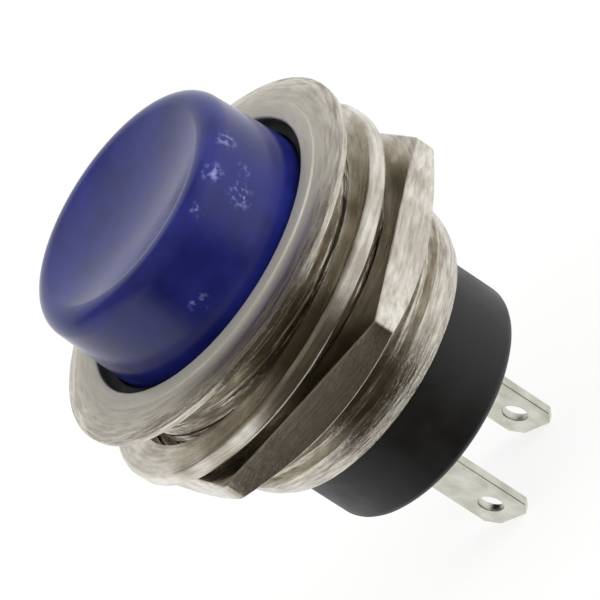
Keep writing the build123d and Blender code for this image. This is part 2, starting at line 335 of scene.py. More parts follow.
def rolled_nickel():
    """Nickel with faint lines and soft waves."""
    material, tree, shader = new_finish("nickel_plated_rolled_brass", Metallic=1.0)
    marks = turning_marks(tree, changes_round=5.0)
    place = add(tree, "ShaderNodeTexCoord").outputs["Object"]
    waves = add(
        tree, "ShaderNodeTexNoise", {"Vector": place, "Scale": 1 / (wave_length * MM), "Detail": 3.0}
    ).outputs["Fac"]
    both = add(tree, "ShaderNodeMath", {0: marks, 1: waves}, operation="ADD").outputs[0]
    share = add(tree, "ShaderNodeMapRange", {"Value": both, "From Min": 0.8, "From Max": 1.2}).outputs[0]
    tint = add(
        tree,
        "ShaderNodeMix",
        {"Factor": share, 6: colour("#B4AB9E"), 7: colour("#E6E2D7")},
        data_type="RGBA",
    ).outputs[2]
    tree.links.new(tint, shader.inputs["Base Color"])
    rough = add(
        tree,
        "ShaderNodeMapRange",
        {"Value": both, "From Min": 0.7, "From Max": 1.3, "To Min": 0.3, "To Max": 0.17},
    ).outputs[0]
    tree.links.new(rough, shader.inputs["Roughness"])
    bump = add(tree, "ShaderNodeBump", {"Height": both, "Strength": 0.5, "Distance": 0.05 * MM})
    tree.links.new(bump.outputs[0], shader.inputs["Normal"])
    return material


hardware = rolled_nickel()
print("made", hardware.name)

# %% [markdown]
# ## Glossy blue plastic
# The cap is moulded in ABS, a plastic that takes a high gloss from a polished mould. The
# eye sees a deep even blue with clear, slightly soft reflections. Handling has left six
# small scuffs, duller than the skin around them. Their pale flecks are partly that wear and
# partly a painted highlight, where light glints on the small dents. Each could be painted by
# hand; here a scuff is a place on the side, and a fine noise breaks it into flecks. The real
# scratches are finer than the 0.3 mm drawn, which is the finest that shows.
# %% Moulded blue ABS
scuff_and_glint_grain, cloud_size = 0.3125, 2.0
scuff_and_glint_radius = 6.75
# Scuffs, each with a painted glint on it: bearing in degrees, height and reach in mm
scuffs_and_glints = [
    (265, 3.2, 0.8),
    (276, 3.4, 0.5),
    (268, 4.9, 0.7),
    (251, 4.9, 0.5),
    (286, 4.6, 0.7),
    (220, 2.3, 0.6),
]


def scuff_and_glint_places(tree, place):
    """1 at each scuff with its painted glint, at its bearing in degrees and height, fading to 0 at its
    reach, both in mm.
    """
    mask = 0.0
    for bearing, height, reach in scuffs_and_glints:
        turn = math.radians(bearing)
        spot = Vector((scuff_and_glint_radius * math.cos(turn), scuff_and_glint_radius * math.sin(turn), height)) * MM
        away = add(
            tree, "ShaderNodeVectorMath", {0: place, 1: spot}, operation="DISTANCE"
        ).outputs["Value"]
        near = add(
            tree,
            "ShaderNodeMapRange",
            {
                "Value": away,
                "From Min": 0.3 * reach * MM,
                "From Max": reach * MM,
                "To Min": 1.0,
                "To Max": 0.0,
            },
        ).outputs[0]
        mask = add(tree, "ShaderNodeMath", {0: near, 1: mask}, operation="MAXIMUM").outputs[0]
    return mask


def blue_abs():
    """Deep blue gloss with a faint cloud and a few scuffs, whose pale flecks are partly painted highlight.
    """
    material, tree, shader = new_finish("moulded_blue_abs", IOR=1.54, Specular_IOR_Level=0.42)
    place = add(tree, "ShaderNodeTexCoord").outputs["Object"]
    grain = add(
        tree, "ShaderNodeTexNoise", {"Vector": place, "Scale": 1 / (scuff_and_glint_grain * MM), "Detail": 3.0}
    ).outputs["Fac"]
    cloud = add(
        tree, "ShaderNodeTexNoise", {"Vector": place, "Scale": 1 / (cloud_size * MM), "Detail": 3.0}
    ).outputs["Fac"]
    fleck = add(tree, "ShaderNodeMapRange", {"Value": grain, "From Min": 0.5, "From Max": 0.7}).outputs[0]
    scuff_and_glint = add(
        tree, "ShaderNodeMath", {0: scuff_and_glint_places(tree, place), 1: fleck}, operation="MULTIPLY"
    ).outputs[0]
    share = add(tree, "ShaderNodeMapRange", {"Value": cloud, "From Min": 0.35, "From Max": 0.65}).outputs[0]
    blue = add(
        tree,
        "ShaderNodeMix",
        {"Factor": share, 6: colour("#1D226A"), 7: colour("#262D80")},
        data_type="RGBA",
    ).outputs[2]
    # Pale lavender flecks: partly scuff wear, partly a painted highlight where light glints on them
    tint = add(
        tree, "ShaderNodeMix", {"Factor": scuff_and_glint, 6: blue, 7: colour("#979CD6")}, data_type="RGBA"
    ).outputs[2]
    tree.links.new(tint, shader.inputs["Base Color"])
    dull = add(
        tree,
        "ShaderNodeMapRange",
        {"Value": cloud, "From Min": 0.35, "From Max": 0.65, "To Min": 0.16, "To Max": 0.24},
    ).outputs[0]
    worn = add(tree, "ShaderNodeMath", {0: scuff_and_glint, 1: 0.25, 2: dull}, operation="MULTIPLY_ADD").outputs[0]
    tree.links.new(worn, shader.inputs["Roughness"])
    bump = add(tree, "ShaderNodeBump", {"Height": cloud, "Strength": 0.12, "Distance": 0.06 * MM})
    tree.links.new(bump.outputs[0], shader.inputs["Normal"])
    return material


cap_blue = blue_abs()
print("made", cap_blue.name, "with", len(scuffs_and_glints), "scuffs_and_glints")

# %% [markdown]
# ## Black mouldings
# The base is a phenolic moulding, filled with wood flour, so its black is slightly grey
# and satin with a fine mottle. The guide ring is acetal, which is smoother and darker. One
# function makes both, since only their greys, gloss and relief differ. The mottle is drawn
# about 1 mm wide, coarser than the real flour, so that it shows.
# %% Phenolic and acetal
mottle_size = 10 / 9  # nine specks in 10 mm


def black_moulding(name, dark, pale, roughness, relief, gloss):
    """A black plastic with a fine mottle."""
    material, tree, shader = new_finish(name, IOR=1.55, Specular_IOR_Level=gloss)
    place = add(tree, "ShaderNodeTexCoord").outputs["Object"]
    mottle = add(
        tree, "ShaderNodeTexNoise", {"Vector": place, "Scale": 1 / (mottle_size * MM), "Detail": 5.0}
    ).outputs["Fac"]
    share = add(tree, "ShaderNodeMapRange", {"Value": mottle, "From Min": 0.35, "From Max": 0.7}).outputs[0]
    tint = add(
        tree, "ShaderNodeMix", {"Factor": share, 6: colour(dark), 7: colour(pale)}, data_type="RGBA"
    ).outputs[2]
    tree.links.new(tint, shader.inputs["Base Color"])
    rough = add(
        tree,
        "ShaderNodeMapRange",
        {
            "Value": mottle,
            "From Min": 0.3,
            "From Max": 0.7,
            "To Min": roughness,
            "To Max": roughness + 0.12,
        },
    ).outputs[0]
    tree.links.new(rough, shader.inputs["Roughness"])
    bump = add(tree, "ShaderNodeBump", {"Height": mottle, "Strength": relief, "Distance": 0.06 * MM})
    tree.links.new(bump.outputs[0], shader.inputs["Normal"])
    return material


phenolic = black_moulding(
    "black_phenolic_moulding", "#1A1919", "#262525", roughness=0.42, relief=0.25, gloss=0.32
)
acetal = black_moulding(
    "black_acetal_moulding", "#0A0A0A", "#111110", roughness=0.5, relief=0.1, gloss=0.12
)
print("made", phenolic.name, "and", acetal.name)

# %% [markdown]
# ## Plain metals and fibre
# The lugs are brass strip dipped in tin, which is pale, soft-looking and a little cloudy.
# The contacts are silver, the bridge is bare brass, the springs are drawn steel wire and
# the thin disc is vulcanised red fibre. Each is one base colour with a cloud of a second
# one, of a size in millimetres, and its own roughness, so one function makes them all.
# %% Tin, silver, brass, spring steel and fibre


def clouded(name, first, second, roughness, grain_mm, metallic=1.0):
    """A plain finish in two near colours that drift into each other."""
    material, tree, shader = new_finish(name, Metallic=metallic)
    place = add(tree, "ShaderNodeTexCoord").outputs["Object"]
    cloud = add(
        tree, "ShaderNodeTexNoise", {"Vector": place, "Scale": 1 / (grain_mm * MM), "Detail": 4.0}
    ).outputs["Fac"]
    share = add(tree, "ShaderNodeMapRange", {"Value": cloud, "From Min": 0.35, "From Max": 0.65}).outputs[0]
    tint = add(
        tree, "ShaderNodeMix", {"Factor": share, 6: colour(first), 7: colour(second)}, data_type="RGBA"
    ).outputs[2]
    tree.links.new(tint, shader.inputs["Base Color"])
    rough = add(
        tree,
        "ShaderNodeMapRange",
        {
            "Value": cloud,
            "From Min": 0.3,
            "From Max": 0.7,
            "To Min": roughness,
            "To Max": roughness + 0.12,
        },
    ).outputs[0]
    tree.links.new(rough, shader.inputs["Roughness"])
    bump = add(tree, "ShaderNodeBump", {"Height": cloud, "Strength": 0.15, "Distance": 0.03 * MM})
    tree.links.new(bump.outputs[0], shader.inputs["Normal"])
    return material


tin = clouded("bright_tin_on_brass", "#BDBBAD", "#D9D8CE", roughness=0.24, grain_mm=0.9)
silver = clouded("fine_silver", "#D8D5CC", "#EAE8E2", roughness=0.2, grain_mm=0.3)
brass = clouded("bare_brass_strip", "#B98F4A", "#D2B06B", roughness=0.25, grain_mm=0.4)
steel = clouded("drawn_spring_steel", "#8C8C8C", "#A9A9A8", roughness=0.28, grain_mm=0.2)
fibre = clouded("vulcanised_red_fibre", "#6A2018", "#7F2C20", roughness=0.62, grain_mm=0.15, metallic=0.0)
print("made", [m.name for m in (tin, silver, brass, steel, fibre)])

# %% [markdown]
# ## A thread that follows a rule
# A screw thread is one groove wound round the bar: the depth at a point depends only on
# how far its height is from the helix at its angle. That rule suits Geometry Nodes. The
# tree moves each point of a fine turned wall in towards the axis by that depth, and lets
# the thread run out near both ends. On the barrel the move sinks a groove. On the nut's
# bore, which faces the axis, it raises the turns that lie in that groove. So one tree with
# named inputs makes both, and from the same starting height they stay in mesh.
# %% The thread tree
flank_share = 0.6


def thread_tree():
    """Geometry Nodes group that threads the round wall at one radius."""
    tree = bpy.data.node_groups.new("cut_thread", "GeometryNodeTree")
    face = tree.interface
    face.new_socket("Geometry", in_out="INPUT", socket_type="NodeSocketGeometry")
    for label in ("Wall Radius", "Pitch", "Start", "Depth", "Top", "Bottom", "Run Out", "Crest"):
        face.new_socket(label, in_out="INPUT", socket_type="NodeSocketFloat")
    face.new_socket("Material", in_out="INPUT", socket_type="NodeSocketMaterial")
    face.new_socket("Geometry", in_out="OUTPUT", socket_type="NodeSocketGeometry")
    given = add(tree, "NodeGroupInput").outputs

    place = add(tree, "GeometryNodeInputPosition").outputs[0]
    x, y, z = add(tree, "ShaderNodeSeparateXYZ", {0: place}).outputs
    flat = add(tree, "ShaderNodeCombineXYZ", {0: x, 1: y}).outputs[0]
    radius = add(tree, "ShaderNodeVectorMath", {0: flat}, operation="LENGTH").outputs["Value"]
    outward = add(tree, "ShaderNodeVectorMath", {0: flat}, operation="NORMALIZE").outputs[0]

    # How many turns the point lies above the helix at its own angle
    angle = add(tree, "ShaderNodeMath", {0: y, 1: x}, operation="ARCTAN2").outputs[0]
    turn = add(tree, "ShaderNodeMath", {0: angle, 1: 2 * math.pi}, operation="DIVIDE").outputs[0]
    above = add(tree, "ShaderNodeMath", {0: z, 1: given["Start"]}, operation="SUBTRACT").outputs[0]
    climb = add(tree, "ShaderNodeMath", {0: above, 1: given["Pitch"]}, operation="DIVIDE").outputs[0]
    turns = add(tree, "ShaderNodeMath", {0: climb, 1: turn}, operation="SUBTRACT").outputs[0]

    # The groove is 1 in the root, 0 on the crest, and straight along the flank between them
    away = add(tree, "ShaderNodeMath", {0: turns, 1: 0.5}, operation="PINGPONG").outputs[0]
    tooth = add(tree, "ShaderNodeMath", {0: away, 1: -2.0, 2: 1.0}, operation="MULTIPLY_ADD").outputs[0]
    root = add(tree, "ShaderNodeMath", {0: given["Crest"], 1: flank_share}, operation="ADD").outputs[0]
    groove = add(
        tree, "ShaderNodeMapRange", {"Value": tooth, "From Min": given["Crest"], "From Max": root}
    ).outputs[0]

    # It fades out over the run-out length at both ends of the wall
    shares = [groove]
    for low, high in ((z, given["Top"]), (given["Bottom"], z)):
        left = add(tree, "ShaderNodeMath", {0: high, 1: low}, operation="SUBTRACT").outputs[0]
        fade = add(tree, "ShaderNodeMapRange", {"Value": left, "From Max": given["Run Out"]})
        shares.append(fade.outputs[0])
    inward = given["Depth"]
    for share in shares + [-1.0]:
        inward = add(tree, "ShaderNodeMath", {0: inward, 1: share}, operation="MULTIPLY").outputs[0]
    shift = add(tree, "ShaderNodeVectorMath", {0: outward, "Scale": inward}, operation="SCALE").outputs[0]
    on_wall = add(
        tree,
        "FunctionNodeCompare",
        {"A": radius, "B": given["Wall Radius"], "Epsilon": 0.01 * MM},
        operation="EQUAL",
    ).outputs[0]
    cut = add(
        tree,
        "GeometryNodeSetPosition",
        {"Geometry": given["Geometry"], "Selection": on_wall, "Offset": shift},
    ).outputs[0]
    real = add(tree, "GeometryNodeRealizeInstances", {"Geometry": cut}).outputs[0]
    done = add(
        tree, "GeometryNodeSetMaterial", {"Geometry": real, "Material": given["Material"]}
    ).outputs[0]
    add(tree, "NodeGroupOutput", {"Geometry": done})
    return tree


def apply_tree(piece, tree, **values):
    """Run a node tree on a piece, keep the result as its plain mesh, and drop the modifier."""
    modifier = piece.modifiers.new(tree.name, "NODES")
    modifier.node_group = tree
    sockets = [socket for socket in tree.interface.items_tree if socket.in_out == "INPUT"]
    named = {socket.name.replace(" ", "_").lower(): socket.identifier for socket in sockets}
    for name, value in values.items():
        modifier[named[name]] = value
    graph = bpy.context.evaluated_depsgraph_get()
    plain = bpy.data.meshes.new_from_object(piece.evaluated_get(graph), depsgraph=graph)
    piece.modifiers.remove(modifier)
    plain.name = piece.name
    piece.data = plain
    return piece


cut_thread = thread_tree()
print("tree", cut_thread.name, "with", len(cut_thread.nodes), "nodes")

# %% [markdown]
# ## The barrel
# The barrel is one turned piece: a flange with a flat land, a small step and a falling
# edge, a threaded neck, and a rear lip that is rolled in over the base. It could be a
# revolved curve with a Screw modifier, but its thread needs a dozen rings in every pitch,
# so its outline is written out with an evenly spaced run there.
# %% Turn the barrel and cut its thread


def barrel_outline():
    """The barrel's section: web, mouth, flange, relief, neck, rolled edge and lip."""
    front, back = flange_front, barrel_end
    stem_hole, land_radius, edge_drop = 1.55, 8.4, 0.45
    step_run, step_drop = 0.03, 0.1
    relief_radius, relief_front, relief_end = 7.53, -0.15, -0.75
    roll_radius, roll_rise, roll_inset = 7.5, 0.12, 0.05
    lip_radius, lip_wall, break_edge = 6.5, 0.35, 0.1
    slope_bulge, roll_bulge = 5.0, 2.5
    neck_top = thread_radius + 0.02
    slope_start = (land_radius + step_run, front - step_drop)
    web = [
        (stem_hole, web_back),
        (stem_hole, web_top),
        (bore_radius, web_top),
        (bore_radius, mouth_floor),
        (mouth_radius, mouth_floor),
    ]
    land = [(mouth_radius, front, 0.12), (land_radius, front, step_run), slope_start]
    slope = arc(slope_start, (flange_radius, front - edge_drop), slope_bulge, 8)
    rim = [(flange_radius, 0.0, break_edge), (neck_top, 0.0), (neck_top, relief_front, 0.05)]
    relief = [(relief_radius, relief_front, break_edge), (relief_radius, relief_end, break_edge)]
    neck = run(thread_radius, relief_end, thread_end, thread_pitch / rings_per_turn)
    roll = arc((thread_radius, thread_end), (roll_radius, back + roll_rise), roll_bulge, 8)
    lip = [
        (roll_radius - roll_inset, back, break_edge),
        (lip_radius, back, break_edge),
        (lip_radius, back + lip_wall),
        (bore_radius, back + lip_wall),
        (bore_radius, web_back),
    ]
    return rounded(web + land + slope + rim + relief + neck + roll + lip)


barrel = turned("switch_barrel", barrel_outline())
apply_tree(
    barrel,
    cut_thread,
    wall_radius=thread_radius * MM,
    pitch=thread_pitch * MM,
    start=thread_end * MM,
    depth=0.42 * MM,
    top=-0.5 * MM,
    bottom=(thread_end - 0.05) * MM,
    run_out=0.25 * MM,
    crest=0.22,
    material=nickel,
)
soften(barrel)

# %% [markdown]
# ## The cap
# The cap is a moulded shell with a shallow dish for the finger, a soft crest and a side
# that widens slightly downwards so that it leaves the mould. A scaled cylinder with a
# bevel would give it one round everywhere. Its outline is drawn instead, so that the dish
# is one long curve and each edge has its own round, because those rounds carry the long
# soft reflections.
# %% Turn the cap


def cap_outline():
    """The cap's section: dish, crest, side, skirt and the boss that holds the stem."""
    crest, draft = cap_top - 0.13, 0.24
    dish_floor, dish_edge, dish_radius = 4.65, 5.36, 19.7
    rise, rise_run = 0.04, 0.14
    skirt_bore, boss_radius, boss_end, stem_bore = 5.8, 2.6, -0.8, 1.5
    dish = [(0.0, dish_floor)]
    dish += arc(dish[0], (dish_edge, crest - rise), -dish_radius, 14)
    crown = [
        (dish_edge + rise_run, crest, 0.9),
        (cap_radius - draft, crest, 1.0),
        (cap_radius, flange_front),
    ]
    skirt = [
        (cap_radius, cap_end, 0.1),
        (skirt_bore, cap_end, 0.1),
        (skirt_bore, crown_underside, 0.3),
    ]
    boss = [
        (boss_radius, crown_underside, 0.2),
        (boss_radius, boss_end, 0.1),
        (stem_bore, boss_end),
        (stem_bore, crown_underside),
        (0.0, crown_underside),
    ]
    return rounded(dish + crown + skirt + boss, 12)


cap = turned("push_cap", cap_outline())
soften(cap)

# %% [markdown]
# ## The guide ring
# A thin black ring sits in the barrel's mouth and centres the cap. Only its front edge
# shows, in the shaded gap round the cap, so the dark line there is partly the ring's own
# black and partly painted shade. A torus would be too round, so a small rectangle
# with one softened corner is turned.
# %% Turn the guide ring
ring_bore, ring_front = 6.95, 0.35
ring_outline = rounded([
    (ring_bore, mouth_floor),
    (mouth_radius, mouth_floor),
    (mouth_radius, ring_front),
    (ring_bore, ring_front, 0.1),
])
# Its black front edge sits in the shaded gap round the cap and paints that shade in
guide_ring = soften(turned("guide_ring", ring_outline))

# %% [markdown]
# ## The washer
# The washer is punched and tumbled, so its outer edge is well rounded. It is loose and
# lies tipped on the thread. Turning its object would do, but a finished object stays
# unturned, so it is turned flat first, like the rest, and its mesh is then tipped.
# %% Turn and tip the washer
washer_bore, washer_radius, washer_half = 8.35, 10.15, 0.5
tip_angle, tip_bearing = math.radians(3.4), math.radians(105.0)
washer_outline = rounded([
    (washer_bore, -washer_half, 0.08),
    (washer_radius, -washer_half, 0.3),
    (washer_radius, washer_half, 0.3),
    (washer_bore, washer_half, 0.08),
], 6)
washer = turned("panel_washer", washer_outline)
tip_axis = Vector((-math.sin(tip_bearing), math.cos(tip_bearing), 0.0))
washer_low, washer_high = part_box("flat_washer")
washer_centre = Matrix.Translation((washer_low + washer_high) / 2)
washer.data.transform(washer_centre @ Matrix.Rotation(tip_angle, 4, tip_axis))
soften(washer)

# %% [markdown]
# ## The nut
# A nut is a hexagon bar that is bored, tapped and chamfered by a cone, which leaves the
# curved edges at its corners. A cylinder with six sides would miss those curves. Here one
# outline is placed at each angle, and its outer radius follows the hexagon, so the cone
# cuts each corner lower than each flat. The bore gets its thread from the same tree as
# the barrel, with turns that are a little lower than the barrel's grooves are deep.
# %% Shape the nut
nut_bore, nut_lead, flat_radius = 8.05, 0.35, 9.5
cone_start, cone_angle = 9.4, math.radians(30)


def hexagon_path(corner_round, turned_by):
    """Points round a hexagon with small rounds at its corners, as (angle, radius)."""
    reach = 2 * flat_radius / math.sqrt(3)
    bearings = [math.radians(turned_by + 60 * k) for k in range(6)]
    corners = [(reach * math.cos(t), reach * math.sin(t), corner_round) for t in bearings]
    bends = rounded(corners, 6)
    points = []
    # Each flat is cut in 20, so that the cone's curve across it is smooth
    for a, b in zip(bends, bends[1:] + bends[:1]):
        cuts = 20 if (Vector(a) - Vector(b)).length > 2 else 1
        points += [Vector(a).lerp(Vector(b), k / cuts) for k in range(cuts)]
    return [(math.atan2(p.y, p.x), p.length) for p in points]


def nut_outline(reach):
    """The nut's section at an angle where the hexagon reaches this far out."""
    edge = nut_back + (reach - cone_start) * math.tan(cone_angle)
    outer = rounded([
        (nut_bore + nut_lead, nut_front),
        (reach, nut_front, 0.12),
        (reach, edge, 0.1),
        (cone_start, nut_back, 0.1),
        (nut_bore + nut_lead, nut_back),
    ])
    ring_spacing = thread_pitch / rings_per_turn
    return outer + run(nut_bore, nut_back + nut_lead, nut_front - nut_lead, ring_spacing)


rows = [
    [(r * math.cos(t), r * math.sin(t), z) for r, z in nut_outline(reach)]
    for t, reach in hexagon_path(corner_round=0.4, turned_by=5.2)
]
nut = skin("hexagon_nut", rows)
apply_tree(
    nut,
    cut_thread,
    wall_radius=nut_bore * MM,
    pitch=thread_pitch * MM,
    start=thread_end * MM,
    depth=0.3 * MM,
    top=(nut_front - 0.3) * MM,
    bottom=(nut_back + 0.3) * MM,
    run_out=0.3 * MM,
    crest=0.38,
    material=hardware,
)
soften(nut)

# %% [markdown]
# ## The base
# The base is a thick cup, held under the barrel's rolled lip, with two slots in its floor
# where the lugs leave. The cup is turned, and the slots are cut by boxes with a Boolean
# modifier, which is applied so that the piece is a plain mesh.
# %% Turn the base and cut its slots
cup_bore, base_radius, shoulder_end = 5.2, 6.45, -8.82
strip_inner, strip_thick, strip_half_width = 2.425, 0.45, 1.55
strip_middle = strip_inner + strip_thick / 2
slot_clearance, slot_middle, slot_height = 0.1, -12.3, 4.0


def box_at(name, centre, size):
    """A plain box, from its centre and its three sizes in mm."""
    bpy.ops.mesh.primitive_cube_add(size=1)
    box = bpy.context.object
    box.name = name
    sizes = Matrix.Diagonal([s * MM for s in size] + [1])
    box.data.transform(Matrix.Translation([c * MM for c in centre]) @ sizes)
    return box


base_outline = rounded([
    (cup_bore, base_top, 0.1),
    (base_shoulder, base_top, 0.1),
    (base_shoulder, shoulder_end, 0.1),
    (base_radius, shoulder_end),
    (base_radius, base_end, 0.6),
    (0.0, base_end),
    (0.0, base_floor),
    (cup_bore, base_floor, 0.2),
], 6)
base = turned("moulded_base", base_outline)
slot_size = (strip_thick + slot_clearance, 2 * strip_half_width + slot_clearance, slot_height)
for side_sign in (1, -1):
    slot_cutter = box_at("slot_cutter", (side_sign * strip_middle, 0, slot_middle), slot_size)
    cutting = base.modifiers.new("slot", "BOOLEAN")
    cutting.object, cutting.operation, cutting.solver = slot_cutter, "DIFFERENCE", "EXACT"
    graph = bpy.context.evaluated_depsgraph_get()
    base.data = bpy.data.meshes.new_from_object(base.evaluated_get(graph), depsgraph=graph)
    base.modifiers.remove(cutting)
    bpy.data.objects.remove(slot_cutter)
base.data.name = "moulded_base"
soften(base)

# %% [markdown]
# ## The lugs
# Each lug is a flat strip with cut corners and a hole for the wire. A filled 2D curve makes
# such a blank well: the hole is a second loop, and the curve's own bevel rounds the
# sheared edges. It is made a mesh before it is stood up in its place. The foot inside the
# base, which carries the fixed contact, is a small block.
# %% Cut and stand the lugs
tip_half_width, tip_cut = 0.95, 0.6
hole_radius, hole_from_tip = 0.65, 1.5
foot_length, foot_width = 2.2, 2.4


def loop(curve, points):
    """Add one closed straight-sided loop to a flat curve."""
    spline = curve.splines.new("POLY")
    spline.points.add(len(points) - 1)
    for point, (x, y) in zip(spline.points, points):
        point.co = (x * MM, y * MM, 0, 1)
    spline.use_cyclic_u = True


def lug(name, side_sign):
    """One lug with its foot, on the right for side_sign 1 and on the left for -1."""
    edge = 0.05
    blank = bpy.data.curves.new(name + "_blank", "CURVE")
    blank.dimensions, blank.fill_mode = "2D", "BOTH"
    blank.extrude = (strip_thick / 2 - edge) * MM
    blank.bevel_depth, blank.bevel_resolution = edge * MM, 2
    blank.offset = -edge * MM
    loop(blank, rounded([
        (-strip_half_width, base_floor),
        (-strip_half_width, lug_end + tip_cut, 0.15),
        (-tip_half_width, lug_end, 0.15),
        (tip_half_width, lug_end, 0.15),
        (strip_half_width, lug_end + tip_cut, 0.15),
        (strip_half_width, base_floor),
    ]))
    circle = [2 * math.pi * k / 40 for k in range(40)]
    hole_height = lug_end + hole_from_tip
    loop(blank, [(hole_radius * math.cos(t), hole_height + hole_radius * math.sin(t)) for t in circle])
    holder = bpy.data.objects.new(name + "_blank", blank)
    bpy.context.scene.collection.objects.link(holder)
    graph = bpy.context.evaluated_depsgraph_get()
    mesh = bpy.data.meshes.new_from_object(holder.evaluated_get(graph), depsgraph=graph)
    bpy.data.objects.remove(holder)
    middle = side_sign * strip_middle * MM
    # Stand it up: the blank's width goes along Y, its length along Z, its thickness along X
    mesh.transform(Matrix(((0, 0, 1, middle), (1, 0, 0, 0), (0, 1, 0, 0), (0, 0, 0, 1))))
    foot = box_at(
        "foot",
        (side_sign * (strip_inner + foot_length / 2), 0, foot_top - strip_thick / 2),
        (foot_length, foot_width, strip_thick),
    )
    bm = bmesh.new()
    bm.from_mesh(mesh)
    bm.from_mesh(foot.data)
    bpy.data.objects.remove(foot)
    bmesh.ops.remove_doubles(bm, verts=bm.verts, dist=1e-7)
    bmesh.ops.recalc_face_normals(bm, faces=bm.faces)
    bm.to_mesh(mesh)
    bm.free()
    mesh.name = name
    piece = bpy.data.objects.new(name, mesh)
    bpy.context.scene.collection.objects.link(piece)
    return soften(piece)


lugs = {1: lug("solder_lug_right", 1), -1: lug("solder_lug_left", -1)}

# %% [markdown]
# ## The springs
# A coil spring is a wire that follows a helix: a Spiral curve swept with a round section.
# A Screw modifier could wind it too. One node tree with named inputs winds both the return
# spring and the small contact spring, so that is used.
# %% The spring tree and both springs


def spring_tree():
    """Geometry Nodes group that winds a round wire into a coil."""
    tree = bpy.data.node_groups.new("wind_spring", "GeometryNodeTree")
    face = tree.interface
    face.new_socket("Geometry", in_out="INPUT", socket_type="NodeSocketGeometry")
    for label in ("Coil Radius", "Wire Radius", "Bottom", "Rise", "Turns"):
        face.new_socket(label, in_out="INPUT", socket_type="NodeSocketFloat")
    face.new_socket("Material", in_out="INPUT", socket_type="NodeSocketMaterial")
    face.new_socket("Geometry", in_out="OUTPUT", socket_type="NodeSocketGeometry")
    given = add(tree, "NodeGroupInput").outputs
    helix = add(
        tree,
        "GeometryNodeCurveSpiral",
        {
            "Resolution": 48,
            "Rotations": given["Turns"],
            "Start Radius": given["Coil Radius"],
            "End Radius": given["Coil Radius"],
            "Height": given["Rise"],
        },
    ).outputs[0]
    lift = add(tree, "ShaderNodeCombineXYZ", {2: given["Bottom"]}).outputs[0]
    placed = add(tree, "GeometryNodeTransform", {"Geometry": helix, "Translation": lift}).outputs[0]
    section = add(
        tree, "GeometryNodeCurvePrimitiveCircle", {"Resolution": 16, "Radius": given["Wire Radius"]}
    ).outputs[0]
    wire = add(
        tree,
        "GeometryNodeCurveToMesh",
        {"Curve": placed, "Profile Curve": section, "Fill Caps": True},
    ).outputs[0]
    real = add(tree, "GeometryNodeRealizeInstances", {"Geometry": wire}).outputs[0]
    done = add(
        tree, "GeometryNodeSetMaterial", {"Geometry": real, "Material": given["Material"]}
    ).outputs[0]
    add(tree, "NodeGroupOutput", {"Geometry": done})
    return tree


def wind(name, coil_radius, wire, bottom, top, turns):
    """Wind one spring between two heights, all in mm."""
    piece = bpy.data.objects.new(name, bpy.data.meshes.new(name))
    bpy.context.scene.collection.objects.link(piece)
    apply_tree(
        piece,
        wind_spring,
        coil_radius=coil_radius * MM,
        wire_radius=wire / 2 * MM,
        bottom=(bottom + wire / 2) * MM,
        rise=(top - bottom - wire) * MM,
        turns=turns,
        material=steel,
    )
    return soften(piece, 60)


contact_low, contact_high, bridge_lift = -7.425, -6.0, 0.31
wind_spring = spring_tree()
return_coil = wind(
    "return_coil", coil_radius=4.2, wire=0.55, bottom=web_top, top=crown_underside, turns=4.5
)
contact_coil = wind(
    "contact_coil", coil_radius=1.2, wire=0.25, bottom=contact_low, top=contact_high, turns=3.5
)

# %% [markdown]
# ## What moves with what
# The cap, its stem and the contact spring move with the button; the washer and the nut
# have bodies of their own. Each new piece rides on the body of the CAD node that it
# stands for. The return spring stays on the barrel's web. Both springs get meshes of their
# own, and a table gives for each its pose, the height that stays put and the share of its
# length that is left, but nothing here shortens them.
# %% Ride, replace and give each piece its finish
return_length = crown_underside - web_top
contact_length = contact_high - contact_low
dressed = [
    (barrel, "housing", "barrel", "nickel_plated_brass", nickel),
    (guide_ring, "housing", "guide_collar", "black_acetal", acetal),
    (cap, "button", "button_cap", "blue_abs", cap_blue),
    (washer, "washer", "flat_washer", "nickel_plated_hardware", hardware),
    (nut, "nut", "hex_nut", "nickel_plated_hardware", hardware),
    (base, "housing", "base", "black_phenolic", phenolic),
    (lugs[1], "housing", "terminal_right", "tinned_brass", tin),
    (lugs[-1], "housing", "terminal_left", "tinned_brass", tin),
    (return_coil, "housing", "return_spring", "spring_steel", steel),
    (contact_coil, "button", "contact_spring", "spring_steel", steel),
]
squashed = {
    "return_spring": ("button_press", web_top, (return_length - press_travel) / return_length),
    "contact_spring": ("bridge_lift", contact_high, (contact_length - bridge_lift) / contact_length),
}
for piece, body, node, slot_name, material in dressed:
    piece.data.materials.clear()
    piece.data.materials.append(material)
    if node in squashed:
        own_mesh(piece)
    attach(piece, body)
    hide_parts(node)
print(len(dressed), "pieces ride on their bodies")

# %% [markdown]
# ## The pieces inside
# The stem, the clips, the disc, the bridge and the contacts keep their CAD shape, because
# the barrel and the base hide them. They still get the finish that the real ones have, and
# so does each CAD node that a new piece stands for.
# %% Finishes of the hidden pieces
inside_finishes = {
    "plunger": acetal,
    "contact_bridge": brass,
    "stem_clip": steel,
    "bridge_clip": steel,
    "insulating_disc": fibre,
    "fixed_contact_right": silver,
    "fixed_contact_left": silver,
    "moving_contact_right": silver,
    "moving_contact_left": silver,
}
replaced_finishes = {node: material for _, _, node, _, material in dressed}
for node, material in (inside_finishes | replaced_finishes).items():
    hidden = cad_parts[node]
    hidden.data.materials.clear()
    hidden.data.materials.append(material)
print("finished", len(inside_finishes), "hidden pieces")

# %% [markdown]
# ## The studio floor
# The switch stands on a pale floor. The floor is lit like any surface and also glows a
# little towards the camera, so it turns white there and keeps a soft shadow, and no light
# is added to the switch. The dome below is what the metal mirrors, so the floor stays out
# of its reflections.
# %% Floor
floor_glow, floor_height = 0.82, lug_end - 0.02


